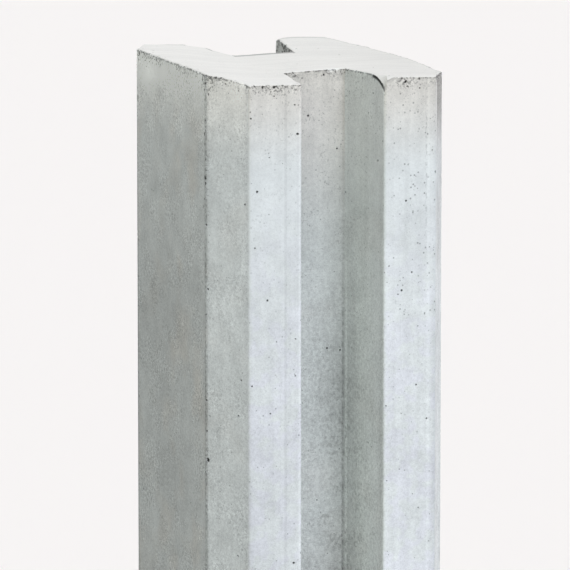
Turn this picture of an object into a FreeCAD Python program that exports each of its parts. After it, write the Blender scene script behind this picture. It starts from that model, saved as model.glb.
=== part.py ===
import FreeCAD, Part
import os

# A slotted fence post, cast in concrete as one piece and set upright in the ground.
# Fence panels slide down into the two slots, which run the full length of the post.
# X crosses the fence, Y follows the fence line, and Z is up from the middle of the foot.

# Driving dimensions, in millimetres
post_length = 1800.0
post_width = 115.0
post_depth = 138.0
chamfer_on_face = 12.5
chamfer_on_side = 23.5
slot_mouth = 40.0
slot_depth = 36.0
bowed_wall_draft = 5.8
straight_wall_draft = 5.0
slot_root_radius = 1.5
mouth_arris_radius = 1.5
end_arris_chamfer = 1.0

# Places that follow from them
half_width = post_width / 2
half_depth = post_depth / 2
half_mouth = slot_mouth / 2
face_corner = half_width - chamfer_on_face
side_corner = half_depth - chamfer_on_side
slot_floor = half_depth - slot_depth
bowed_root = half_mouth - bowed_wall_draft
straight_root = half_mouth - straight_wall_draft

# Half of the section, from the middle of the +X side round the front to the middle of the -X side.
# Both walls of the slot lean, so that the mould lets go: the one towards -X is flat, and the one towards +X
# is bowed, leaving the mouth straight along Y and curving in towards the floor.
front_half = [
    (half_width, -side_corner),
    (face_corner, -half_depth),
    (half_mouth, -half_depth),
    (bowed_root, -slot_floor),
    (-straight_root, -slot_floor),
    (-half_mouth, -half_depth),
    (-face_corner, -half_depth),
    (-half_width, -side_corner),
]
back_half = [(-x, -y) for x, y in front_half]
bowed_start = front_half.index((half_mouth, -half_depth))


def bowed_wall(mouth, root):
    """The arc from the mouth to the root of a slot that starts along Y at the mouth."""
    across = root.x - mouth.x
    inward = root.y - mouth.y
    radius = (across ** 2 + inward ** 2) / (2 * across)
    centre = mouth + FreeCAD.Vector(radius, 0, 0)
    bisector = (mouth - centre) + (root - centre)
    middle = centre + bisector * (abs(radius) / bisector.Length)
    return Part.Arc(mouth, middle, root).toShape()


def cast_section(halves):
    """The closed section at the foot, as a face that can be pushed up into a solid."""
    points = [FreeCAD.Vector(x, y, 0) for half in halves for x, y in half]
    edges = []
    for place, (start, end) in enumerate(zip(points, points[1:] + points[:1])):
        bowed = place % len(front_half) == bowed_start
        edges.append(bowed_wall(start, end) if bowed else Part.makeLine(start, end))
    return Part.Face(Part.Wire(edges))


def long_edges(solid, x, y):
    """The full-length edge at a corner of the front half, and its partner half a turn away."""
    places = (FreeCAD.Vector(x, y, 0), FreeCAD.Vector(-x, -y, 0))
    found = []
    for edge in solid.Edges:
        foot = min((vertex.Point for vertex in edge.Vertexes), key=lambda point: point.z)
        upright = edge.BoundBox.ZLength > post_length / 2
        if upright and any(foot.distanceToPoint(place) < 0.01 for place in places):
            found.append(edge)
    return found


def end_edges(solid):
    """Every edge round the two ends of the post."""
    return [edge for edge in solid.Edges if edge.BoundBox.ZLength < 0.01]


# The section is pushed up to the full length, then its slot corners and its ends are softened
section = cast_section((front_half, back_half))
post = section.extrude(FreeCAD.Vector(0, 0, post_length))
for root in (bowed_root, -straight_root):
    post = post.makeFillet(slot_root_radius, long_edges(post, root, -slot_floor))
for mouth in (half_mouth, -half_mouth):
    post = post.makeFillet(mouth_arris_radius, long_edges(post, mouth, -half_depth))
post = post.makeChamfer(end_arris_chamfer, end_edges(post))

os.makedirs("parts", exist_ok=True)
post.exportStep("parts/post.step")

print("post", [round(size, 2) for size in (post.BoundBox.XLength, post.BoundBox.YLength, post.BoundBox.ZLength)])
print("volume in litres", round(post.Volume / 1e6, 3), "valid", post.isValid(), "solids", len(post.Solids))
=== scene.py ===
# %% [markdown]
# # A slotted concrete fence post
# The post is one casting. It stands in the ground, and fence panels slide down into the slots in two of
# its faces. The solid that carries the sizes is loaded first and stays where it is: everything below is
# made in metres, in the same place, so nothing has to be fitted afterwards.

# %% Load the frame
import math

import bmesh
import bpy
import numpy as np
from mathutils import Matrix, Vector, geometry, noise
from mathutils.bvhtree import BVHTree


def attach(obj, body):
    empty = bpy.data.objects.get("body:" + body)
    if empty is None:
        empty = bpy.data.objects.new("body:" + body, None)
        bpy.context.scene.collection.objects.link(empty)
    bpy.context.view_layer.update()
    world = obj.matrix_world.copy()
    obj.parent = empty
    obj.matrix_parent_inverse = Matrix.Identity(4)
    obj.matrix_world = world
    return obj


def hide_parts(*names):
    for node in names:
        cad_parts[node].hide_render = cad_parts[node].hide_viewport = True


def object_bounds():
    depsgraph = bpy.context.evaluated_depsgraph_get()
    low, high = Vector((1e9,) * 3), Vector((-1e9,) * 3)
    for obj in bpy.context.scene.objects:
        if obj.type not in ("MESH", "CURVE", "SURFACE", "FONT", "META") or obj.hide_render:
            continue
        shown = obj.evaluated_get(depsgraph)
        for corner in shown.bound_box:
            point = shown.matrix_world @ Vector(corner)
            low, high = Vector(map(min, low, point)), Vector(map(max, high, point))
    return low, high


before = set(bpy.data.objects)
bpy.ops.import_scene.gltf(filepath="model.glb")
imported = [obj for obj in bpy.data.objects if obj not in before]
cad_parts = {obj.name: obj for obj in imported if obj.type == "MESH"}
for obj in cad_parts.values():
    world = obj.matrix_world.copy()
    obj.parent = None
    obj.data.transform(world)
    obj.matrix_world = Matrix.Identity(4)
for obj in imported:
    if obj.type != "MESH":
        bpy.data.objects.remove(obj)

cad_low, cad_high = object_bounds()
mm = 0.001
half_width = cad_high.x
half_depth = cad_high.y
post_top = cad_high.z
print("post in millimetres:", [round(size / mm, 1) for size in cad_high - cad_low])

# %% [markdown]
# ## Camera
# The view is a long-lens product shot: the upright edges stay almost parallel, and only the top quarter
# metre is in the frame. The camera could be placed by eye, but a few angles and distances, measured
# from the edges of the top face, put it there at once. It is aimed by turning a vector into a rotation,
# with no lens shift.

# %% Place the camera
view_azimuth = -21.01
view_elevation = 9.74
view_distance = 3.0
aim_right_of_axis = -1.5 * mm
aim_above_top = -105.6 * mm
frame_pixels = 570
focal_pixels = 6544
sensor_width = 36.0


def compass(azimuth, elevation):
    """The direction at an angle round from the front, in degrees, and an angle above level."""
    turn = math.radians(azimuth)
    rise = math.radians(elevation)
    return Vector((math.sin(turn) * math.cos(rise), -math.cos(turn) * math.cos(rise), math.sin(rise)))


towards_camera = compass(view_azimuth, view_elevation)
camera_right = compass(view_azimuth + 90, 0)
camera_up = towards_camera.cross(camera_right)
top_middle = Vector((0, 0, post_top))
aim = top_middle + camera_right * aim_right_of_axis + camera_up * aim_above_top

camera_data = bpy.data.cameras.new("camera")
camera_data.sensor_width = sensor_width
camera_data.lens = sensor_width * focal_pixels / frame_pixels
camera = bpy.data.objects.new("camera", camera_data)
camera.location = aim + towards_camera * view_distance
camera.rotation_mode = "QUATERNION"
camera.rotation_quaternion = (-towards_camera).to_track_quat("-Z", "Y")
bpy.context.scene.collection.objects.link(camera)
bpy.context.scene.camera = camera
print("lens in millimetres:", round(camera_data.lens))

# %% [markdown]
# ## Nodes as expressions
# Shaders and Geometry Nodes are both graphs, and both grow long when every node is written out by hand.
# A small class wraps an output socket, so that sums and products of sockets add their own Math nodes.
# One method makes every other kind of node: it sets the node's own options first and then its inputs.

# %% A socket that can be used in sums
class Wire:
    """An output socket on a bench, which can be used in sums."""

    def __init__(self, bench, socket):
        self.bench = bench
        self.socket = socket

    def out(self, name):
        """Another output of the same node, by identifier or name."""
        outputs = self.socket.node.outputs
        return Wire(self.bench, next(found for found in outputs if name in (found.identifier, found.name)))

    def __add__(self, other):
        return self.bench.math("ADD", self, other)

    def __sub__(self, other):
        return self.bench.math("SUBTRACT", self, other)

    def __mul__(self, other):
        return self.bench.math("MULTIPLY", self, other)

    def __pow__(self, other):
        return self.bench.math("POWER", self, other)

    def __radd__(self, other):
        return self.bench.math("ADD", other, self)

    def __rsub__(self, other):
        return self.bench.math("SUBTRACT", other, self)

    def __rmul__(self, other):
        return self.bench.math("MULTIPLY", other, self)


print("operators ready")

# %% A bench for building node graphs
class Bench:
    """A node graph under construction."""

    def __init__(self, tree):
        self.tree = tree

    def node(self, kind, settings=None, inputs=None):
        """Add a node: its options first, then each input by identifier or place, linked or set."""
        made = self.tree.nodes.new(kind)
        for name, value in (settings or {}).items():
            setattr(made, name, value)
        by_identifier = {socket.identifier: socket for socket in made.inputs}
        for key, value in (inputs or {}).items():
            socket = made.inputs[key] if isinstance(key, int) else by_identifier[key]
            if isinstance(value, Wire):
                self.tree.links.new(value.socket, socket)
            else:
                socket.default_value = value
        shown = [socket for socket in made.outputs if socket.enabled]
        return Wire(self, shown[0]) if shown else made

    def math(self, operation, *values):
        """A sum, a product or the like of numbers."""
        return self.node("ShaderNodeMath", {"operation": operation}, dict(enumerate(values)))

    def step(self, value, low, high):
        """A smooth step from 0 to 1 as value goes from low to high."""
        ends = {"Value": value, "From Min": low, "From Max": high}
        return self.node("ShaderNodeMapRange", {"interpolation_type": "SMOOTHSTEP"}, ends)

    def mix(self, share, first, second):
        """A colour between two colours."""
        ends = {"Factor_Float": share, "A_Color": first, "B_Color": second}
        return self.node("ShaderNodeMix", {"data_type": "RGBA"}, ends)

    def scaled(self, vector, share):
        """A colour or vector times a number."""
        return self.node("ShaderNodeVectorMath", {"operation": "SCALE"}, {"Vector": vector, "Scale": share})


print("bench ready")

# %% [markdown]
# ## Light
# The post stands in a pale room under a cool soft light from the front and above. A weaker neutral
# light reaches round from the left, one from the right keeps the far edge bright, and one from behind
# is there for other views. Sun lamps with wide angles give the same soft light along the whole length
# of the post, which near area lamps would not.

# %% Hang the lamps
# Each lamp: angle round from the front, angle up, width, and the level of its red, green and blue
lamps = {
    "key": (13, 39, 30, (0.695, 0.718, 0.780)),
    "left_fill": (-50, 20, 46, (0.398, 0.415, 0.388)),
    "right_fill": (100, 25, 60, (0.520, 0.520, 0.520)),
    "back_fill": (190, 25, 60, (0.300, 0.300, 0.300)),
}


def add_sun(name, azimuth, elevation, width, levels):
    """A sun lamp. A level of 1 lights a facing white surface to white."""
    data = bpy.data.lights.new(name, "SUN")
    data.energy = max(levels) * math.pi
    data.color = [level / max(levels) for level in levels]
    data.angle = math.radians(width)
    lamp = bpy.data.objects.new(name, data)
    lamp.rotation_mode = "QUATERNION"
    lamp.rotation_quaternion = compass(azimuth, elevation).to_track_quat("Z", "Y")
    bpy.context.scene.collection.objects.link(lamp)


for name, lamp in lamps.items():
    add_sun(name, *lamp)
bpy.context.scene.view_settings.view_transform = "Standard"
print("lamps:", list(lamps))

# %% [markdown]
# ## Floor and backdrop
# The pale surroundings could be lit until they look white, but that light would also fall on the post.
# Instead the floor and the world have two tones: a pale one that the camera and reflections see, and a
# darker one that lights the post. The Light Path node tells the two kinds of rays apart.

# %% Hang the backdrop
room_level = 0.05
white = (1, 1, 1, 1)
pale_backdrop = (0.930, 0.913, 0.905, 1)


def seen_directly(bench):
    """1 for the camera's rays and for those that reflect or pass to it, and 0 for light on the post."""
    path = bench.node("ShaderNodeLightPath")
    seen = path.out("Is Camera Ray") + path.out("Is Glossy Ray") + path.out("Is Transmission Ray")
    return bench.math("MINIMUM", seen, 1.0)


world = bpy.data.worlds.new("room")
world.use_nodes = True
world.node_tree.nodes.clear()
bpy.context.scene.world = world
room = Bench(world.node_tree)
lighting = room.node("ShaderNodeBackground", {}, {"Color": white, "Strength": room_level})
backdrop = room.node("ShaderNodeBackground", {}, {"Color": pale_backdrop, "Strength": 1.0})
surroundings = room.node("ShaderNodeMixShader", {}, {0: seen_directly(room), 1: lighting, 2: backdrop})
room.node("ShaderNodeOutputWorld", {}, {"Surface": surroundings})
print("backdrop:", pale_backdrop)

# %% Lay the floor
# The light on the floor tints it, so its own tone is the backdrop's with that tint taken out
floor_light = (0.970, 0.995, 1.020)
pale_floor = [tone / light for tone, light in zip(pale_backdrop, floor_light)] + [1]
floor_bounce = (0.15, 0.15, 0.15, 1)
floor_half_size = 60.0
square = ((-1, -1), (1, -1), (1, 1), (-1, 1))

floor_mesh = bpy.data.meshes.new("floor")
floor_corners = [(x * floor_half_size, y * floor_half_size, 0) for x, y in square]
floor_mesh.from_pydata(floor_corners, [], [list(range(len(square)))])
floor = bpy.data.objects.new("floor", floor_mesh)
bpy.context.scene.collection.objects.link(floor)
floor_finish = bpy.data.materials.new("pale_floor")
floor_finish.use_nodes = True
floor_finish.node_tree.nodes.clear()
ground = Bench(floor_finish.node_tree)
floor_tone = ground.mix(seen_directly(ground), floor_bounce, pale_floor)
floor_matte = ground.node("ShaderNodeBsdfDiffuse", {}, {"Color": floor_tone})
ground.node("ShaderNodeOutputMaterial", {}, {"Surface": floor_matte})
floor_mesh.materials.append(floor_finish)
print("floor in metres:", 2 * floor_half_size)

# %% [markdown]
# ## The section
# Every upright edge of the post comes from one outline. Only its corners are written down, each with
# the radius that rounds it; arcs and evenly spaced points along the straight runs are worked out. Half
# of the outline is listed, because turning it half round gives the other half. Both walls of a slot
# lean, so that the mould lets go: one is flat, and the other is bowed, leaving the mouth straight and
# curving in towards the floor. The arrises between the slotted faces and the chamfers have worn round.

# %% List the corners of the section
chamfer_on_face = 12.5 * mm
chamfer_on_side = 23.5 * mm
half_mouth = 20.0 * mm
slot_depth = 36.0 * mm
bowed_draft = 5.8 * mm
straight_draft = 5.0 * mm
root_radius = 1.5 * mm
mouth_radius = 1.5 * mm
arris_radius = 1.5 * mm
bow_points = 7

face_corner = half_width - chamfer_on_face
side_corner = half_depth - chamfer_on_side
slot_floor = half_depth - slot_depth
bowed_root = half_mouth - bowed_draft
straight_root = half_mouth - straight_draft
bow_radius = (bowed_draft ** 2 + slot_depth ** 2) / (2 * bowed_draft)


def bowed_wall(depth):
    """Where the bowed wall stands at a depth into the slot."""
    return half_mouth - (bow_radius - math.sqrt(bow_radius ** 2 - depth ** 2))


bow_depths = np.linspace(slot_depth, 0, bow_points)[1:-1]
front_corners = [
    (-half_width, -side_corner, 0),
    (-face_corner, -half_depth, arris_radius),
    (-half_mouth, -half_depth, mouth_radius),
    (-straight_root, -slot_floor, root_radius),
    (bowed_root, -slot_floor, root_radius),
    *((bowed_wall(depth), -half_depth + depth, 0) for depth in bow_depths),
    (half_mouth, -half_depth, mouth_radius),
    (face_corner, -half_depth, arris_radius),
    (half_width, -side_corner, 0),
]
corners = front_corners + [(-x, -y, radius) for x, y, radius in front_corners]
print("radius of the bowed wall in millimetres:", round(bow_radius / mm, 1))

# %% Draw the section
outline_step = 2.5 * mm
arc_points = 5


def arc_at(before, corner, after, radius):
    """Points of the arc that rounds a corner, or the corner itself where it stays sharp."""
    if radius == 0:
        return [corner]
    inward = (before - corner).normalized()
    outward = (after - corner).normalized()
    half_angle = inward.angle(outward) / 2
    middle = corner + (inward + outward).normalized() * radius / math.sin(half_angle)
    start = (corner + inward * radius / math.tan(half_angle) - middle).normalized()
    end = (corner + outward * radius / math.tan(half_angle) - middle).normalized()
    return [middle + start.slerp(end, share) * radius for share in np.linspace(0, 1, arc_points)]


def rounded_outline(corners, step):
    """The closed outline with rounded corners, its straight runs divided into equal steps."""
    places = [Vector((x, y)) for x, y, radius in corners]
    arcs = []
    for index, (x, y, radius) in enumerate(corners):
        after = places[(index + 1) % len(places)]
        arcs.append(arc_at(places[index - 1], places[index], after, radius))
    points = []
    for index, arc in enumerate(arcs):
        points += arc
        run_end = arcs[(index + 1) % len(arcs)][0]
        pieces = max(1, round((run_end - arc[-1]).length / step))
        points += [arc[-1].lerp(run_end, share / pieces) for share in range(1, pieces)]
    return np.array(points)


outline = rounded_outline(corners, outline_step)
print("points round the section:", len(outline))

# %% [markdown]
# ## The worn top end
# The top end was struck off by hand: it slopes and dips a little, its rims are rubbed, and each slot
# has a corner that is rubbed round. It could be sculpted, but a formula that says how far a point drops
# below a square end can be used again: the body follows it, and the dirt, painted shade and painted
# light near the rim are measured from it.

# %% Say how far the top end drops
end_slope = 0.0314
# Each broad dip or swell of the top end: its middle, its reach along X and Y, and its depth
broad_dips = [
    (-22 * mm, 0.0, 20 * mm, 150 * mm, 1.6 * mm),
    (0.0, 12 * mm, 40 * mm, 40 * mm, 1.8 * mm),
    (35 * mm, half_depth, 25 * mm, 25 * mm, -1.3 * mm),
    (half_width, -side_corner, 14 * mm, 22 * mm, 1.1 * mm),
    (half_width, side_corner, 20 * mm, 25 * mm, 1.3 * mm),
    (-35 * mm, -half_depth, 30 * mm, 25 * mm, 1.4 * mm),
]
# Each rubbed corner or edge: its middle, how far the wear reaches along X and Y, and its depth
rubbed_corner = (half_mouth, -half_depth)
rubbed_places = [
    (*rubbed_corner, 3 * mm, 14 * mm, 9.0 * mm),
    (-half_mouth, half_depth, 7 * mm, 13 * mm, 8.0 * mm),
    (half_mouth, half_depth, 5 * mm, 6 * mm, 2.0 * mm),
    (-face_corner, -half_depth, 22 * mm, 14 * mm, 1.6 * mm),
    (-face_corner, half_depth, 30 * mm, 10 * mm, 2.0 * mm),
]


def top_drop(x, y):
    """How far the top end lies below a square one: a slight slope, broad dips and the rubbed places."""
    drop = end_slope * (x + half_width)
    for middle_x, middle_y, reach_x, reach_y, depth in broad_dips:
        drop = drop + depth * np.exp(-((x - middle_x) / reach_x) ** 2 - ((y - middle_y) / reach_y) ** 2)
    for middle_x, middle_y, reach_x, reach_y, depth in rubbed_places:
        distance = np.hypot((x - middle_x) / reach_x, (y - middle_y) / reach_y)
        drop = drop + depth * (1 - np.sqrt(1 - np.clip(1 - distance, 0, 1) ** 2))
    return np.maximum(drop, 0)


print("drop at the rubbed corner in millimetres:", round(float(top_drop(*rubbed_corner)) / mm, 1))

# %% [markdown]
# ## The cast body
# The body is the section pushed up from the foot to the top. A plain extrusion would do for a new post,
# but this one has a worn end, so the rows of points crowd towards the top and follow the drop there,
# and the rim is a little ragged. The ends are filled with a triangulation that keeps the outline,
# because one many-sided face can't follow a worn surface.

# %% Tools for rings of points
sharp_turn = math.radians(25)


def outward_normals(outline):
    """Unit normals of the corners of a closed outline, and how much an offset stretches there."""
    edges = np.roll(outline, -1, axis=0) - outline
    normals = np.column_stack([edges[:, 1], -edges[:, 0]])
    normals /= np.linalg.norm(normals, axis=1)[:, None]
    shared = normals + np.roll(normals, 1, axis=0)
    shared /= np.linalg.norm(shared, axis=1)[:, None]
    return shared, 1 / np.sum(shared * normals, axis=1)


def inset(outline, distance):
    """The outline drawn in by a distance, which may differ from point to point."""
    normals, stretch = outward_normals(outline)
    return outline - normals * (stretch * distance)[:, None]


def convex_turns(outline):
    """How sharply the outline turns outwards at each of its points, from 0 to 1."""
    ahead = np.roll(outline, -1, axis=0) - outline
    behind = outline - np.roll(outline, 1, axis=0)
    cross = behind[:, 0] * ahead[:, 1] - behind[:, 1] * ahead[:, 0]
    dot = np.sum(behind * ahead, axis=1)
    return np.clip(np.arctan2(cross, dot) / sharp_turn, 0, 1)


def noise_at(points, size):
    """Smooth noise from -1 to 1 at points, with bumps of about a size."""
    return np.array([noise.noise(Vector(point) / size) for point in points])


arris = convex_turns(outline)
print("points on outward arrises:", int((arris > 0).sum()))

# %% Stack the rows of the body
end_arris = 0.5 * mm
fine_rows = np.arange(0.5, 30.5, 1.5) * mm
middle_rows = np.arange(30.5, 80.5, 5.0) * mm
plain_rows = 24
wear_zone = fine_rows[-1]
ragged_depth = 0.9 * mm
ragged_share = 0.3
ragged_at_arris = 0.25
ragged_size = 3.5 * mm
ragged_fades = 4.0 * mm

long_rows = np.linspace(middle_rows[-1], post_top - end_arris, plain_rows)[1:]
below_top = np.concatenate([[0.0], fine_rows, middle_rows, long_rows, [post_top]])
flat_outline = np.column_stack([outline, np.zeros(len(outline))])
ragged = ragged_depth * np.clip(ragged_share + noise_at(flat_outline, ragged_size), 0, 1)
ragged *= 1 - (1 - ragged_at_arris) * arris
rows = []
for depth in below_top:
    fade = max(0.0, 1 - depth / ragged_fades)
    ring = inset(outline, ragged * fade + end_arris * (depth in (0.0, post_top)))
    worn = max(0.0, 1 - depth / wear_zone)
    heights = post_top - depth - worn * top_drop(ring[:, 0], ring[:, 1])
    rows.append(np.column_stack([ring, heights]))
print("rows of points:", len(rows))

# %% Tools for the ends
cap_grid = 4.0 * mm
cap_margin = 2.0 * mm
inside_triangles = 1
merge_distance = 1e-9


def cap_points(ring):
    """Points of a grid over the whole end that keep clear of the outline.

    Those that fall in a slot or beyond a chamfer are left unused by the filling.
    """
    grid_x, grid_y = np.meshgrid(
        np.arange(-half_width, half_width, cap_grid),
        np.arange(-half_depth, half_depth, cap_grid),
    )
    grid = np.column_stack([grid_x.ravel(), grid_y.ravel()])
    gaps = np.linalg.norm(grid[:, None, :] - ring[None, :, :], axis=2).min(axis=1)
    return grid[gaps > cap_margin]


def filled(ring, inner):
    """Triangles that fill an outline, as places in the list of its points and then the inner ones."""
    given = [Vector(point) for point in np.vstack([ring, inner])]
    whole = [list(range(len(ring)))]
    result = geometry.delaunay_2d_cdt(given, [], whole, inside_triangles, merge_distance)
    sources = [origins[0] for origins in result[3]]
    return [[sources[corner] for corner in face] for face in result[2]]


top_ring = rows[0][:, :2]
foot_ring = rows[-1][:, :2]
inner = cap_points(top_ring)
print("grid points over the top end:", len(inner))

# %% Join the rows and close the ends
inner_heights = post_top - top_drop(inner[:, 0], inner[:, 1])
body_points = np.vstack(rows + [np.column_stack([inner, inner_heights])])

count = len(outline)
body_faces = []
for row in range(len(rows) - 1):
    upper = row * count
    lower = upper + count
    for index in range(count):
        beside = (index + 1) % count
        body_faces.append((upper + beside, upper + index, lower + index, lower + beside))
first_inner = len(rows) * count
for triangle in filled(top_ring, inner):
    body_faces.append([corner if corner < count else corner - count + first_inner for corner in triangle])
foot_start = (len(rows) - 1) * count
for triangle in filled(foot_ring, np.empty((0, 2))):
    body_faces.append([foot_start + corner for corner in reversed(triangle)])
print("body faces:", len(body_faces))

# %% Make the body and check it
litres_in_cubic_metre = 1000
body_mesh = bpy.data.meshes.new("cast_body")
body_mesh.from_pydata(body_points.tolist(), [], body_faces)
body = bpy.data.objects.new("cast_body", body_mesh)
bpy.context.scene.collection.objects.link(body)
check = bmesh.new()
check.from_mesh(body_mesh)
open_edges = sum(not edge.is_manifold for edge in check.edges)
volume = check.calc_volume() * litres_in_cubic_metre
check.free()
print("open edges:", open_edges, "volume in litres:", round(volume, 2))

# %% [markdown]
# ## Where the post wears
# Concrete loses its sharp edges first: grains break out along the top rim, where the mould was struck
# off, and along the arrises. The rim wears in patches. Small air bubbles trapped against the mould
# leave round holes, more of them near the top, since air rises in the wet mix. Painted dots would stay
# flat in a raking light, so both are cut into the surface. Two numbers on every point of the body say
# how likely a chip or a hole is there.

# %% Say where chips come
rim_reach = 5.0 * mm
rim_patch = 15 * mm
rim_patch_layer = 291 * mm
usual_rim_wear = 0.6
rim_wear_swing = 1.2
least_rim_wear = 0.15
arris_chips = 0.06
side_arris_chips = 0.85
arris_worn_above = 50 * mm
arris_plain_below = 120 * mm
plain_arris = 0.40
wall_chips = 0.35
top_face_chips = 0.02
edge_width = 1 * mm


def rim_wear(x, y):
    """How worn the rim is at places in plan: it wears in patches."""
    places = np.column_stack([x, y, np.full(len(x), rim_patch_layer)])
    return np.clip(usual_rim_wear + rim_wear_swing * noise_at(places, rim_patch), least_rim_wear, 1)


out_x = np.abs(outline[:, 0])
out_y = np.abs(outline[:, 1])
side_arris = np.hypot(out_x - half_width, out_y - side_corner) < edge_width
arris_share = arris * np.where(side_arris, side_arris_chips, arris_chips)
in_mouth = (out_x < half_mouth) & (out_y > slot_floor + edge_width)
rim_share = np.where(in_mouth, wall_chips, 1) * rim_wear(outline[:, 0], outline[:, 1])
print("wear of the rim, least and most:", round(rim_share.min(), 2), round(rim_share.max(), 2))

# %% Say where air holes come, and keep both on the body
airy_above = 280 * mm
plain_below = 420 * mm
plain_holes = 0.10
shaded_holes = 0.40
top_face_holes = 0.15
cluster_size = 16 * mm
usual_cluster = 0.55
cluster_swing = 1.1
least_cluster = 0.05

on_slotted_face = out_y > half_depth - edge_width
chip_share = []
hole_share = []
for depth in below_top:
    airy = np.interp(depth, [airy_above, plain_below], [1, plain_holes])
    rim = max(0.0, 1 - depth / rim_reach)
    worn = np.interp(depth, [arris_worn_above, arris_plain_below], [1, plain_arris])
    chip_share.append(np.maximum(rim * rim_share, arris_share * airy * worn))
    hole_share.append(np.where(on_slotted_face, airy, airy * shaded_holes))
chip_share = np.concatenate(chip_share + [np.full(len(inner), top_face_chips)])
hole_share = np.concatenate(hole_share + [np.full(len(inner), top_face_holes)])
hole_share *= np.clip(usual_cluster + cluster_swing * noise_at(body_points, cluster_size), least_cluster, 1)
for name, share in (("chip_share", chip_share), ("hole_share", hole_share)):
    body_mesh.attributes.new(name, "FLOAT", "POINT").data.foreach_set("value", share)
    print(name, "mean:", round(float(share.mean()), 3))

# %% [markdown]
# ## Chips and air holes
# Geometry Nodes scatter the hollows: points keep a least distance from each other, each gets a ball of
# its own size, and the balls are taken out of the body with a boolean. The balls for chips are
# stretched, turned and roughened with noise, since stone breaks unevenly. Large chips, small chips and
# air holes are three passes of the same steps, because balls of one pass must not overlap.

# %% Name the inputs of the weathering
# The smallest and the largest radius of each kind of hollow
ball_radii = {
    "large chips": (0.60 * mm, 1.30 * mm),
    "small chips": (0.35 * mm, 0.80 * mm),
    "air holes": (0.24 * mm, 0.65 * mm),
}
named_inputs = {"Body": "Geometry", "Finish": "Material", "Seed": "Int", "Roughness of chips": "Float"}
for hollows in ball_radii:
    named_inputs[f"Smallest radius of {hollows}"] = "Float"
    named_inputs[f"Largest radius of {hollows}"] = "Float"
weathering = bpy.data.node_groups.new("weathering", "GeometryNodeTree")
for name, kind in named_inputs.items():
    weathering.interface.new_socket(name, in_out="INPUT", socket_type="NodeSocket" + kind)
weathering.interface.new_socket("Weathered body", in_out="OUTPUT", socket_type="NodeSocketGeometry")
wear = Bench(weathering)
given = wear.node("NodeGroupInput")
print("named inputs:", list(named_inputs))

# %% Scatter balls over the body
spacing = 2.5
seeds_for_each_pass = 10
ball_detail = 2
least_stretch = (0.75, 0.75, 0.75)
most_stretch = (1.15, 1.15, 1.15)
full_turns = (math.tau, math.tau, math.tau)
stone_grain = 1.2 * mm


def random_vector(low, high, seed):
    """A random vector for each ball, between two limits."""
    limits = {"Min": low, "Max": high, "Seed": seed}
    return wear.node("FunctionNodeRandomValue", {"data_type": "FLOAT_VECTOR"}, limits)


def scattered_balls(order, hollows, share, density, skew, rough):
    """Balls on the body where a share is high, no two of them touching."""
    smallest = given.out(f"Smallest radius of {hollows}")
    largest = given.out(f"Largest radius of {hollows}")
    seed = given.out("Seed") + order * seeds_for_each_pass
    wanted = wear.node("GeometryNodeInputNamedAttribute", {"data_type": "FLOAT"}, {"Name": share})
    points = wear.node("GeometryNodeDistributePointsOnFaces", {"distribute_method": "POISSON"}, {
        "Mesh": given.out("Body"),
        "Distance Min": largest * spacing,
        "Density Max": density,
        "Density Factor": wanted,
        "Seed": seed,
    })
    draw = wear.node("FunctionNodeRandomValue", {"data_type": "FLOAT"}, {"Seed": seed + 1})
    radius = smallest + (largest - smallest) * draw ** skew
    ball = wear.node("GeometryNodeMeshIcoSphere", {}, {"Radius": 1.0, "Subdivisions": ball_detail})
    stretch = random_vector(least_stretch, most_stretch, seed + 2)
    turn = random_vector((0, 0, 0), full_turns, seed + 3)
    balls = wear.node("GeometryNodeInstanceOnPoints", {}, {
        "Points": points,
        "Instance": ball,
        "Rotation": turn,
        "Scale": wear.scaled(stretch, radius) if rough else radius,
    })
    return wear.node("GeometryNodeRealizeInstances", {}, {"Geometry": balls})


def roughened(balls):
    """The balls with their points pushed about by noise."""
    grain = wear.node("ShaderNodeTexNoise", {}, {"Scale": 1 / stone_grain, "Detail": 1.0}).out("Color")
    centred = wear.node("ShaderNodeVectorMath", {"operation": "SUBTRACT"}, {0: grain, 1: (0.5, 0.5, 0.5)})
    shift = wear.scaled(centred, given.out("Roughness of chips"))
    return wear.node("GeometryNodeSetPosition", {}, {"Geometry": balls, "Offset": shift})


print("nodes so far:", len(weathering.nodes))

# %% Cut the balls out of the body
# Each pass: share to follow, points for each square metre, skew of the radii, and whether the balls
# are rough
passes = {
    "large chips": ("chip_share", 10000, 2.5, True),
    "small chips": ("chip_share", 260000, 1.5, True),
    "air holes": ("hole_share", 11000, 3.0, False),
}
body_so_far = given.out("Body")
for order, (hollows, follows) in enumerate(passes.items()):
    balls = scattered_balls(order, hollows, *follows)
    rough = follows[-1]
    balls = roughened(balls) if rough else balls
    cut = {"operation": "DIFFERENCE", "solver": "MANIFOLD"}
    body_so_far = wear.node("GeometryNodeMeshBoolean", cut, {"Mesh 1": body_so_far, "Mesh 2": balls})
body_so_far = wear.node("GeometryNodeRealizeInstances", {}, {"Geometry": body_so_far})
finished = {"Geometry": body_so_far, "Material": given.out("Finish")}
wear.node("NodeGroupOutput", {}, {0: wear.node("GeometryNodeSetMaterial", {}, finished)})
print("passes:", list(passes), "nodes in the tree:", len(weathering.nodes))

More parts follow.
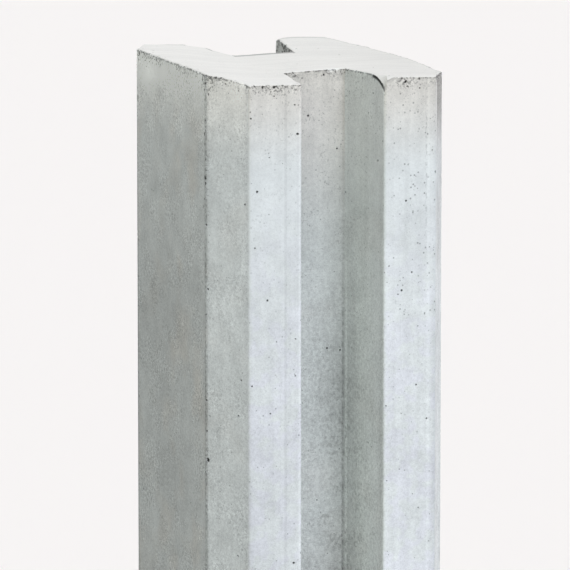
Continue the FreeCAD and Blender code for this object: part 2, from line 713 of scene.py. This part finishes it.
# %% Weather the body
weather_seed = 7
chip_roughness = 0.9 * mm
concrete = bpy.data.materials.new("cast_concrete")
settings = {"Finish": concrete, "Seed": weather_seed, "Roughness of chips": chip_roughness}
for hollows, (smallest, largest) in ball_radii.items():
    settings[f"Smallest radius of {hollows}"] = smallest
    settings[f"Largest radius of {hollows}"] = largest
modifier = body.modifiers.new("weathering", "NODES")
modifier.node_group = weathering
for name, value in settings.items():
    modifier[weathering.interface.items_tree[name].identifier] = value
depsgraph = bpy.context.evaluated_depsgraph_get()
post_mesh = bpy.data.meshes.new_from_object(body.evaluated_get(depsgraph), depsgraph=depsgraph)
body.modifiers.remove(modifier)
post_mesh.name = "cast_post"
post = bpy.data.objects.new("cast_post", post_mesh)
bpy.context.scene.collection.objects.link(post)
post_mesh.calc_loop_triangles()
print("triangles of the weathered post:", len(post_mesh.loop_triangles))

# %% [markdown]
# ## Edges and hollows
# Flat faces must stay flat in the shading while the hollows stay crisp, so every edge that turns by
# more than a set angle is marked sharp and the rest is smoothed. The finish darkens the hollows with
# painted shade and dirt, and marks the rim with dirt, painted shade and painted light: each point keeps
# how far it lies below the body's own surface, how far it lies below the rim above it, and how worn that
# rim is. The finish reads all three.

# %% Mark the sharp edges
crease = math.radians(30)
edited = bmesh.new()
edited.from_mesh(post_mesh)
open_edges = sum(not edge.is_manifold for edge in edited.edges)
for face in edited.faces:
    face.smooth = True
for edge in edited.edges:
    edge.smooth = edge.calc_face_angle(0) < crease
edited.to_mesh(post_mesh)
edited.free()
print("open edges:", open_edges)

# %% Measure the hollows
full_hollow = 0.5 * mm
surface = BVHTree.FromPolygons(body_points.tolist(), body_faces)
points = np.array([vertex.co for vertex in post_mesh.vertices])
sunk = np.array([surface.find_nearest(vertex.co)[3] for vertex in post_mesh.vertices])
kept_on_points = {
    "hollow": np.clip(sunk / full_hollow, 0, 1),
    "below_rim": post_top - top_drop(points[:, 0], points[:, 1]) - points[:, 2],
    "rim_wear": rim_wear(points[:, 0], points[:, 1]),
}
for name, values in kept_on_points.items():
    post_mesh.attributes.new(name, "FLOAT", "POINT").data.foreach_set("value", values)
bpy.data.objects.remove(body)
print("means:", {name: round(float(values.mean()), 3) for name, values in kept_on_points.items()})

# %% [markdown]
# ## The place on the post
# Fresh concrete is a cool pale grey. Towards the top end a warmer bloom of lime tints the skin, warmer
# on the slotted faces than on the sides, and painted light pales the shaded faces there. Inside the
# slots painted shade darkens the skin, most of all near the root. The skin could be unwrapped and
# painted, but all of this depends only on the place on the post, so the finish starts from the position
# and works out how far each place is below the rim, from the faces and from the slots. Each slot's
# features are written once: turning the back half round onto the front half lets both halves read the
# same formulas.

# %% Read the place on the post
concrete.use_nodes = True
concrete.node_tree.nodes.clear()
paint = Bench(concrete.node_tree)
place = paint.node("ShaderNodeTexCoord").out("Object")
along = paint.node("ShaderNodeSeparateXYZ", {}, {"Vector": place})
x = along.out("X")
y = along.out("Y")
z = along.out("Z")
below_end = post_top - end_slope * (x + half_width) - z


def size_of(value):
    """A number without its sign."""
    return paint.math("ABSOLUTE", value)


def kept(name):
    """A number that the mesh keeps on its points."""
    return paint.node("ShaderNodeAttribute", {"attribute_name": name}).out("Fac")


def report(step):
    """Say how large the finish has grown."""
    print(step, "done, nodes so far:", len(concrete.node_tree.nodes))


turned_x = x * paint.math("SIGN", y) * -1.0
turned_y = size_of(y) * -1.0
hollow = kept("hollow")
below_rim = kept("below_rim")
rim_patches = kept("rim_wear")
report("place")

# %% Tools for zones, with every length in millimetres
def beyond(value, low, high):
    """Rises from 0 to 1 between two lengths."""
    return paint.step(value, low * mm, high * mm)


def within(value, low, high):
    """Falls from 1 to 0 between two lengths."""
    return 1.0 - beyond(value, low, high)


def by_rim(full, gone):
    """1 down to one depth below the rim above, and 0 from another on."""
    return within(below_rim, full, gone)


def upper_part(full, gone):
    """1 down to one depth below the sloping end, and 0 from another on."""
    return within(below_end, full, gone)


def lower_part(starts, full):
    """0 down to one depth below the sloping end, and 1 from another on."""
    return beyond(below_end, starts, full)


def distance_to(across, deep):
    """Distance in plan from an upright line, measured on the front half."""
    return paint.math("SQRT", (turned_x - across) ** 2.0 + (turned_y - deep) ** 2.0)


def upright_line(across, deep, core, edge):
    """An upright line: 1 out to a core's radius, and 0 from its edge on."""
    return within(distance_to(across, deep), core, edge)


print("tools ready")

# %% Divide the surface into zones
top_face = by_rim(0.1, 0.4)
off_top = 1.0 - top_face
front_face = within(turned_y + half_depth, 0.4, 1.4)
side_face = beyond(size_of(x) - half_width, -0.9, -0.3)
on_right = beyond(x, -1, 1)
near_top = upper_part(2, 45)
lower_down = lower_part(30, 150)
inside = beyond(turned_y + half_depth, 0.5, 2.0) * within(turned_y + slot_floor, 0.3, 1.0)
in_slot = inside * within(size_of(turned_x) - half_mouth, -0.2, 0.4) * off_top
on_floor = in_slot * beyond(turned_y + slot_floor, -1.5, -0.5)
on_wall = in_slot - on_floor
on_chamfer = beyond(size_of(x) - face_corner, 0.3, 1.0) * (1.0 - side_face) * (1.0 - front_face)
to_root = distance_to(bowed_root, -slot_floor)
report("zones")

# %% [markdown]
# ## Mottling, streaks and pores
# A cast skin is never even. Cement paste settles into clouds, water runs down the mould and leaves
# upright streaks, sand shows as grain, and pores too fine to cut are dark pin points. An image of
# concrete could be wrapped round the post, but it would repeat down the length, so each of these is a
# pattern in space with its own size. Noise centred on zero changes the tone without changing the
# average, and noise passed through a step gives patches.

# %% Tools for patterns, with every size in millimetres
def noise_of(size, detail, stretch=(1, 1, 1)):
    """Noise from 0 to 1 with features of a size, stretched by a factor along each axis."""
    scales = tuple(1 / (size * mm * factor) for factor in stretch)
    spread = paint.node("ShaderNodeVectorMath", {"operation": "MULTIPLY"}, {0: place, 1: scales})
    return paint.node("ShaderNodeTexNoise", {}, {"Vector": spread, "Scale": 1.0, "Detail": detail})


def ripple(size, detail, stretch=(1, 1, 1)):
    """Noise centred on zero."""
    return noise_of(size, detail, stretch) - 0.5


def patches(size, detail, low, high, stretch=(1, 1, 1)):
    """Patches: 0 where the noise is under a low value and 1 where it is over a high one."""
    return paint.step(noise_of(size, detail, stretch), low, high)


def pores(size, radius, share):
    """Points in some of the cells of a pattern: 1 in a point and 0 elsewhere."""
    cells = paint.node("ShaderNodeTexVoronoi", {}, {"Vector": place, "Scale": 1 / (size * mm)})
    chosen = paint.node("ShaderNodeSeparateColor", {}, {"Color": cells.out("Color")}).out("Red")
    point = 1.0 - paint.step(cells.out("Distance"), 0.5 * radius / size, radius / size)
    return point * paint.math("LESS_THAN", chosen, share)


def darkened(tone, marks):
    """A tone that loses a share of its light at each of a list of marks."""
    for mark, share in marks:
        tone = tone * (1.0 - share * mark)
    return tone


print("tools ready")

# %% Mottle the skin
clouds = ripple(45, 3.0)
blotches = ripple(9, 3.0)
streaks = ripple(3.5, 3.0, (1, 1, 45))
grain = ripple(1.4, 2.0)
sand = ripple(0.6, 1.0)
rough_side = (side_face + 0.45 * on_chamfer) * patches(15, 3.0, 0.42, 0.60)
cloud_contrast = 0.30 + 0.10 * (side_face + on_chamfer)
streak_contrast = 0.20 - 0.12 * side_face
grain_contrast = 0.30 + 0.06 * near_top - 0.12 * front_face
grain_contrast = grain_contrast + 0.16 * lower_down * (1.0 + in_slot) + 0.70 * rough_side
skin = 1.0 + cloud_contrast * (clouds + blotches)
skin = skin + streak_contrast * streaks + grain_contrast * (grain + sand)
report("mottling")

# %% Prick the skin with pores and specks
fine_pores = pores(size=3.0, radius=0.42, share=0.30)
wide_pores = pores(size=13.0, radius=0.60, share=0.40)
pore_clouds = paint.math("MAXIMUM", patches(14, 2.0, 0.42, 0.56), near_top)
pore_clusters = pore_clouds * (0.4 + 0.6 * beyond(turned_x, 20, 28)) * upper_part(100, 190)
clustered_pores = pores(size=2.4, radius=0.55, share=0.70) * pore_clusters * front_face
specks = patches(0.9, 2.0, 0.61, 0.69) * (0.25 + 0.75 * patches(11, 3.0, 0.46, 0.62))
speck_darkness = 0.22 + 0.12 * in_slot + 0.18 * near_top - 0.08 * front_face
skin = darkened(skin, [
    (fine_pores, 0.40),
    (wide_pores, 0.55),
    (clustered_pores, 0.50),
    (specks, speck_darkness),
])
report("pores and specks")

# %% [markdown]
# ## Dirt, lines, worn places, painted shade and painted highlights
# Dirt sticks where the surface is broken: along the rim, down the arrises and in hollows, which take
# painted shade too. Painted shade also darkens the top of the far chamfer, the chamfers beside the
# slotted faces and a line along a slot wall under a rubbed corner. The joints of the mould show as faint
# upright lines on the slotted faces. A dark line of painted shade runs down the crease at the bowed root
# of the slot and is stronger lower down, and old smears lie on the slot floor. Painted highlights run
# down the mouth arrises and beside the root. One picture of all the marks could be painted by hand, but
# each mark has a plain place, so each is a zone times a pattern, and takes a share of the light away or
# adds some.

# %% Dirt and painted shade along the rim
open_rim = off_top * (1.0 - 0.75 * on_wall) * rim_patches
rim_band = by_rim(1.0, 5.5) * open_rim * patches(1.5, 3.0, 0.42, 0.60)
rim_line = by_rim(0.6, 1.3) * off_top * (1.0 - 0.6 * front_face) * patches(1.8, 3.0, 0.38, 0.56)
pitted = patches(0.9, 2.0, 0.55, 0.61)
rim_pits = by_rim(1.5, 6.5) * open_rim * pitted
far_corner = side_face * beyond(y, 8, 46) * within(x, -50, -40) * by_rim(5, 15) * pitted
outer_corners = within(size_of(y + side_corner), 2, 7) * beyond(size_of(x), 52, 56)
corner_pits = outer_corners * by_rim(4, 10) * patches(1.1, 2.0, 0.50, 0.58)
back_notch = beyond(y, 20, 30) * in_slot * beyond(x, 5, 10) * by_rim(8, 14)
notch_darkness = 0.15 + 0.60 * patches(1.5, 2.0, 0.44, 0.58, (1, 2.4, 1))
# Painted shadow: a dark line along the rim of the slot wall where the rubbed corner breaks back
rubbed_wall = within(turned_x - half_mouth, 0.1, 0.5) * within(y, -50, -40) * off_top
painted_rub_shadow = upright_line(*rubbed_corner, core=12, edge=15) * by_rim(1.1, 2.2) * rubbed_wall
floor_rim = on_floor * by_rim(2, 7)
rim_marks = [
    # Hollows: painted shade, with dirt in them too
    (hollow, 0.90),
    (rim_band, 0.30),
    (rim_line, 0.55),
    (corner_pits, 0.75),
    (rim_pits, 0.65),
    (far_corner, 0.70),
    (back_notch, notch_darkness),
    (painted_rub_shadow, 0.94),
    (floor_rim, 0.10),
]
report("dirt along the rim")

# %% Dirt and painted shade down the arrises
arris_pits = patches(1.2, 3.0, 0.46, 0.58, (1, 1, 1.4))
arris_runs = paint.math("MAXIMUM", patches(26, 2.0, 0.40, 0.60), upper_part(40, 80))
arris_line = upright_line(-half_width, -side_corner, core=0.4, edge=1.7)
arris_line = arris_line * (0.45 + 0.55 * arris_pits) * (0.60 + 0.40 * arris_runs)
outer_arris = upright_line(half_width, -side_corner, core=0.9, edge=2.0)
outer_arris = outer_arris * beyond(y, 0, 1) * lower_part(20, 70)
# Beside the arris of each slotted face: painted shade on the chamfer, with dotted dirt most near the top
face_arris = upright_line(-face_corner, -half_depth, core=1.2, edge=4.0) * on_chamfer
face_pits = arris_pits * (0.45 + 0.55 * upper_part(95, 130))
far_face_arris = upright_line(face_corner, -half_depth, core=0.5, edge=3.0) * lower_part(60, 120)
# Painted shade at the top of the far chamfer, with pits in it near the top
far_chamfer = beyond(x - face_corner, 1, 2) * within(y + side_corner, -2, 0)
painted_chamfer_shade = 0.42 * upper_part(12, 38) + 0.12 * upper_part(40, 120) + 0.25 * pitted * near_top
arris_marks = [
    (arris_line, 0.50),
    (outer_arris, 0.30),
    (face_arris, 0.06 + 0.16 * face_pits),
    (far_face_arris, 0.09),
    (far_chamfer, painted_chamfer_shade),
]
report("dirt down the arrises")

# %% Marks in the slot and of the mould
root_strength = 0.30 + 0.70 * lower_part(80, 130)
root_dots = 0.35 + 0.65 * patches(0.9, 3.0, 0.42, 0.58, (1, 1, 2))
# Painted shade: a dotted dark line down the crease at the bowed root, stronger lower down
painted_crease_shade = within(to_root, 0.3, 1.0) * root_dots * root_strength
smear_patches = patches(13, 3.0, 0.42, 0.58) * (0.45 + 0.55 * within(to_root, 4, 24))
smear_grains = patches(1.5, 4.0, 0.47, 0.62, (1, 1, 1.3))
smears = in_slot * lower_part(90, 170) * smear_patches * smear_grains


def mould_joint(across, core, edge):
    """A line down the slotted face, where two boards of the mould met."""
    return within(size_of(turned_x - across * mm), core, edge) * front_face


dark_joint = mould_joint(across=-27.8, core=0.3, edge=1.0)
pale_joint = mould_joint(across=41.4, core=0.3, edge=1.0)
joint_dots = patches(1.0, 2.0, 0.46, 0.58, (1, 1, 2)) * upper_part(55, 85)
dotted_joint = mould_joint(across=40.3, core=0.2, edge=0.7) * joint_dots
face_marks = [
    (painted_crease_shade, 0.42),
    (smears, 0.26),
    (dark_joint, 0.09),
    (dotted_joint, 0.22),
]
report("marks in the slot and of the mould")

# %% Painted highlights, and all marks together
# Painted highlights beside the root and down the mouth arrises; the pale joint is the skin's own tone
painted_highlight_place = (bowed_root + 0.5 * mm, -slot_floor - 2.2 * mm)
painted_root_highlight = upright_line(*painted_highlight_place, core=0.4, edge=1.1) * root_strength
painted_mouth_highlight = upright_line(-half_mouth, -half_depth, core=0.9, edge=1.7)
far_painted_mouth_highlight = upright_line(half_mouth, -half_depth, core=1.5, edge=6.0) * front_face * lower_down
joint_and_painted_highlights = 0.06 * pale_joint + 0.24 * painted_root_highlight + 0.15 * painted_mouth_highlight + 0.05 * far_painted_mouth_highlight
shade = darkened(skin * (1.0 + joint_and_painted_highlights), rim_marks + arris_marks + face_marks)
report("gleams and marks")

# %% [markdown]
# ## Broad light and shade
# Some changes are too wide for a mark: painted shade dulls the slots all over and most at the root,
# painted light pales the shaded faces of the upper end and the sides near the rim, and the sides and
# chamfers drift in tone from one edge to the other, with painted light brighter towards the right of the
# post and on the left chamfers. Each is a gentle factor on the whole tone, so that the patterns above
# keep their contrast.

# %% Paint shade in the slots and light on the upper end
# Painted shade in the slots: all over, most at the root lower down and near the rim; where the sum at the
# root falls below zero it is painted light
painted_root_shade = 0.19 * lower_part(60, 150) + 0.21 * by_rim(12, 36) - 0.09
painted_slot_shade = 0.10 + 0.04 * lower_part(10, 60) + painted_root_shade * within(to_root, 2, 20)
# Painted light: shaded faces paler towards the top end and slotted faces a little darker there, and the
# sides paler again near the rim
painted_top_light = 0.30 - 0.36 * front_face - 0.08 * on_chamfer - side_face * (0.08 + 0.12 * on_right)
painted_rim_light = 0.16 * by_rim(4, 18) + 0.14 * beyond(y, 5, 30) * by_rim(6, 26)
shade = shade * (1.0 - in_slot * painted_slot_shade)
shade = shade * (1.0 + near_top * (1.0 - in_slot) * painted_top_light)
shade = shade * (1.0 + side_face * (1.0 - 0.8 * on_right) * painted_rim_light)
report("broad shade")

# %% Let the tones drift across the faces, with some painted light
down_side = 0.05 * upper_part(40, 110) - 0.08 * lower_down
# Painted light: brighter towards the right of the post, more so lower down
painted_light_across_post = (0.03 + 0.03 * lower_down) * x * (1 / half_width)
across_side = 0.07 * within(y, -35, -8) - 0.03 * within(size_of(y - 12 * mm), 5, 20)
across_chamfer = 0.04 - 0.07 / chamfer_on_face * (turned_x + half_width)
left_chamfer = on_chamfer * within(turned_x, -10, 10)
shade = shade * (1.0 + side_face * down_side) * (1.0 + painted_light_across_post)
# Painted light on the left chamfers
shade = shade * (1.0 + 0.05 * on_chamfer * within(x, -10, 10))
shade = shade * (1.0 + lower_down * (side_face * across_side + left_chamfer * across_chamfer))
report("drift of the tones")

# %% [markdown]
# ## The top face
# The top end was struck off with a board: it is smoother and paler than the sides, with faint streaks
# across it. Painted shade darkens it along the far edges, at the back slot and beside one of its walls,
# a little towards the right, and in its hollows, which hold dirt too. These follow the distance to each
# edge, which is simpler than painting them along a curve.

# %% Shade the top face
trowelled = (0.785, 0.770, 0.735)
# Where painted shade darkens the face, in millimetres from the back edge, and how much narrower that
# band is along the far chamfer and the far side
painted_shade_band = (2.5, 4.5)
chamfer_narrower = 2.0
side_narrower = 2.5
wall_line = half_mouth - 1.0 * mm
chamfer_normal = Vector((chamfer_on_side, chamfer_on_face)).normalized()
chamfer_reach = half_width * chamfer_normal.x + side_corner * chamfer_normal.y
to_chamfer = chamfer_reach - (x * chamfer_normal.x + y * chamfer_normal.y)
to_far_edges = paint.math("MINIMUM", to_chamfer * chamfer_narrower, (half_width - x) * side_narrower)
far_gap = paint.math("MINIMUM", half_depth - y, to_far_edges)
slot_gap = size_of(slot_floor - y) + beyond(size_of(x) - straight_root, 0, 4)
wall_rim = within(size_of(x + wall_line), 0.7, 1.5) * beyond(y, 44, 50) * within(y, 61, 65)
board_streaks = ripple(4, 3.0, (9, 1, 1))
board_clouds = ripple(14, 3.0, (2.5, 1, 1))
top_skin = 1.0 + 0.14 * board_streaks + 0.12 * board_clouds + 0.20 * sand
# Painted shade on the top face along the far edges, at the back slot, beside its wall and towards the
# right; the hollows take painted shade and dirt
top_shade = darkened(top_skin, [
    (within(far_gap, *painted_shade_band), 0.22),
    (within(slot_gap, *painted_shade_band), 0.50),
    (beyond(x, 5, 50), 0.05),
    (wall_rim, 0.45),
    (hollow, 0.60),
])
top_tone = paint.scaled(trowelled, top_shade)
report("top face")

# %% [markdown]
# ## Putting the finish together
# The greys of the faces, the bloom and the shade meet in one matte surface, because dry concrete hardly
# shines. A little relief from the grain, the streaks and the pores breaks up the light as sand does.
# Cutting the grain into the mesh would take millions of triangles, so this finest relief is only a
# bump.

# %% Choose the tones
cool_grey = (0.735, 0.760, 0.757, 1)
face_grey = (0.742, 0.770, 0.766, 1)
lilac_grey = (0.742, 0.757, 0.790, 1)
slot_grey = (0.742, 0.773, 0.745, 1)
warm_grey = (0.765, 0.745, 0.705, 1)
side_bloom = (0.768, 0.772, 0.755, 1)
chamfer_bloom = (0.785, 0.765, 0.728, 1)
face_bloom = (0.785, 0.755, 0.700, 1)

warm_side = side_face * (0.45 * within(y, -10, 40) + 0.30 * beyond(y, 36, 43))
warmth = patches(24, 4.0, 0.45, 0.70) * (0.20 + warm_side) * (1.0 - front_face)
lilac = lower_down * patches(8, 2.0, 0.42, 0.60)
green_slot = in_slot - 0.8 * on_wall * beyond(to_root, 12, 28)
grey = paint.mix(green_slot, cool_grey, slot_grey)
grey = paint.mix(front_face, grey, paint.mix(lilac, face_grey, lilac_grey))
grey = paint.mix(warmth, grey, warm_grey)
bloom = paint.mix(on_chamfer, side_bloom, chamfer_bloom)
bloom = paint.mix(paint.math("MAXIMUM", front_face, on_floor), bloom, face_bloom)
bloomed = near_top + in_slot * (upper_part(2, 90) - near_top)
side_tone = paint.scaled(paint.mix(bloomed * (1.0 - 0.6 * on_wall), grey, bloom), shade)
report("tones")

# %% Finish the concrete
matte = 0.88
dull_gleam = 0.25
relief_strength = 0.45
relief_depth = 0.35 * mm
relief = 0.5 * grain + 0.25 * streaks - 0.8 * fine_pores - 1.0 * wide_pores
uneven = {"Strength": relief_strength, "Distance": relief_depth, "Height": relief}
surface_finish = paint.node("ShaderNodeBsdfPrincipled", {}, {
    "Base Color": paint.mix(top_face, side_tone, top_tone),
    "Roughness": matte + 0.20 * grain,
    "Specular IOR Level": dull_gleam,
    "Normal": paint.node("ShaderNodeBump", {}, uneven),
})
paint.node("ShaderNodeOutputMaterial", {}, {"Surface": surface_finish})
report("finish")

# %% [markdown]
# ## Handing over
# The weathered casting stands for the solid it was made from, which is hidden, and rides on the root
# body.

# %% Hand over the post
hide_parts("post")
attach(post, "root")
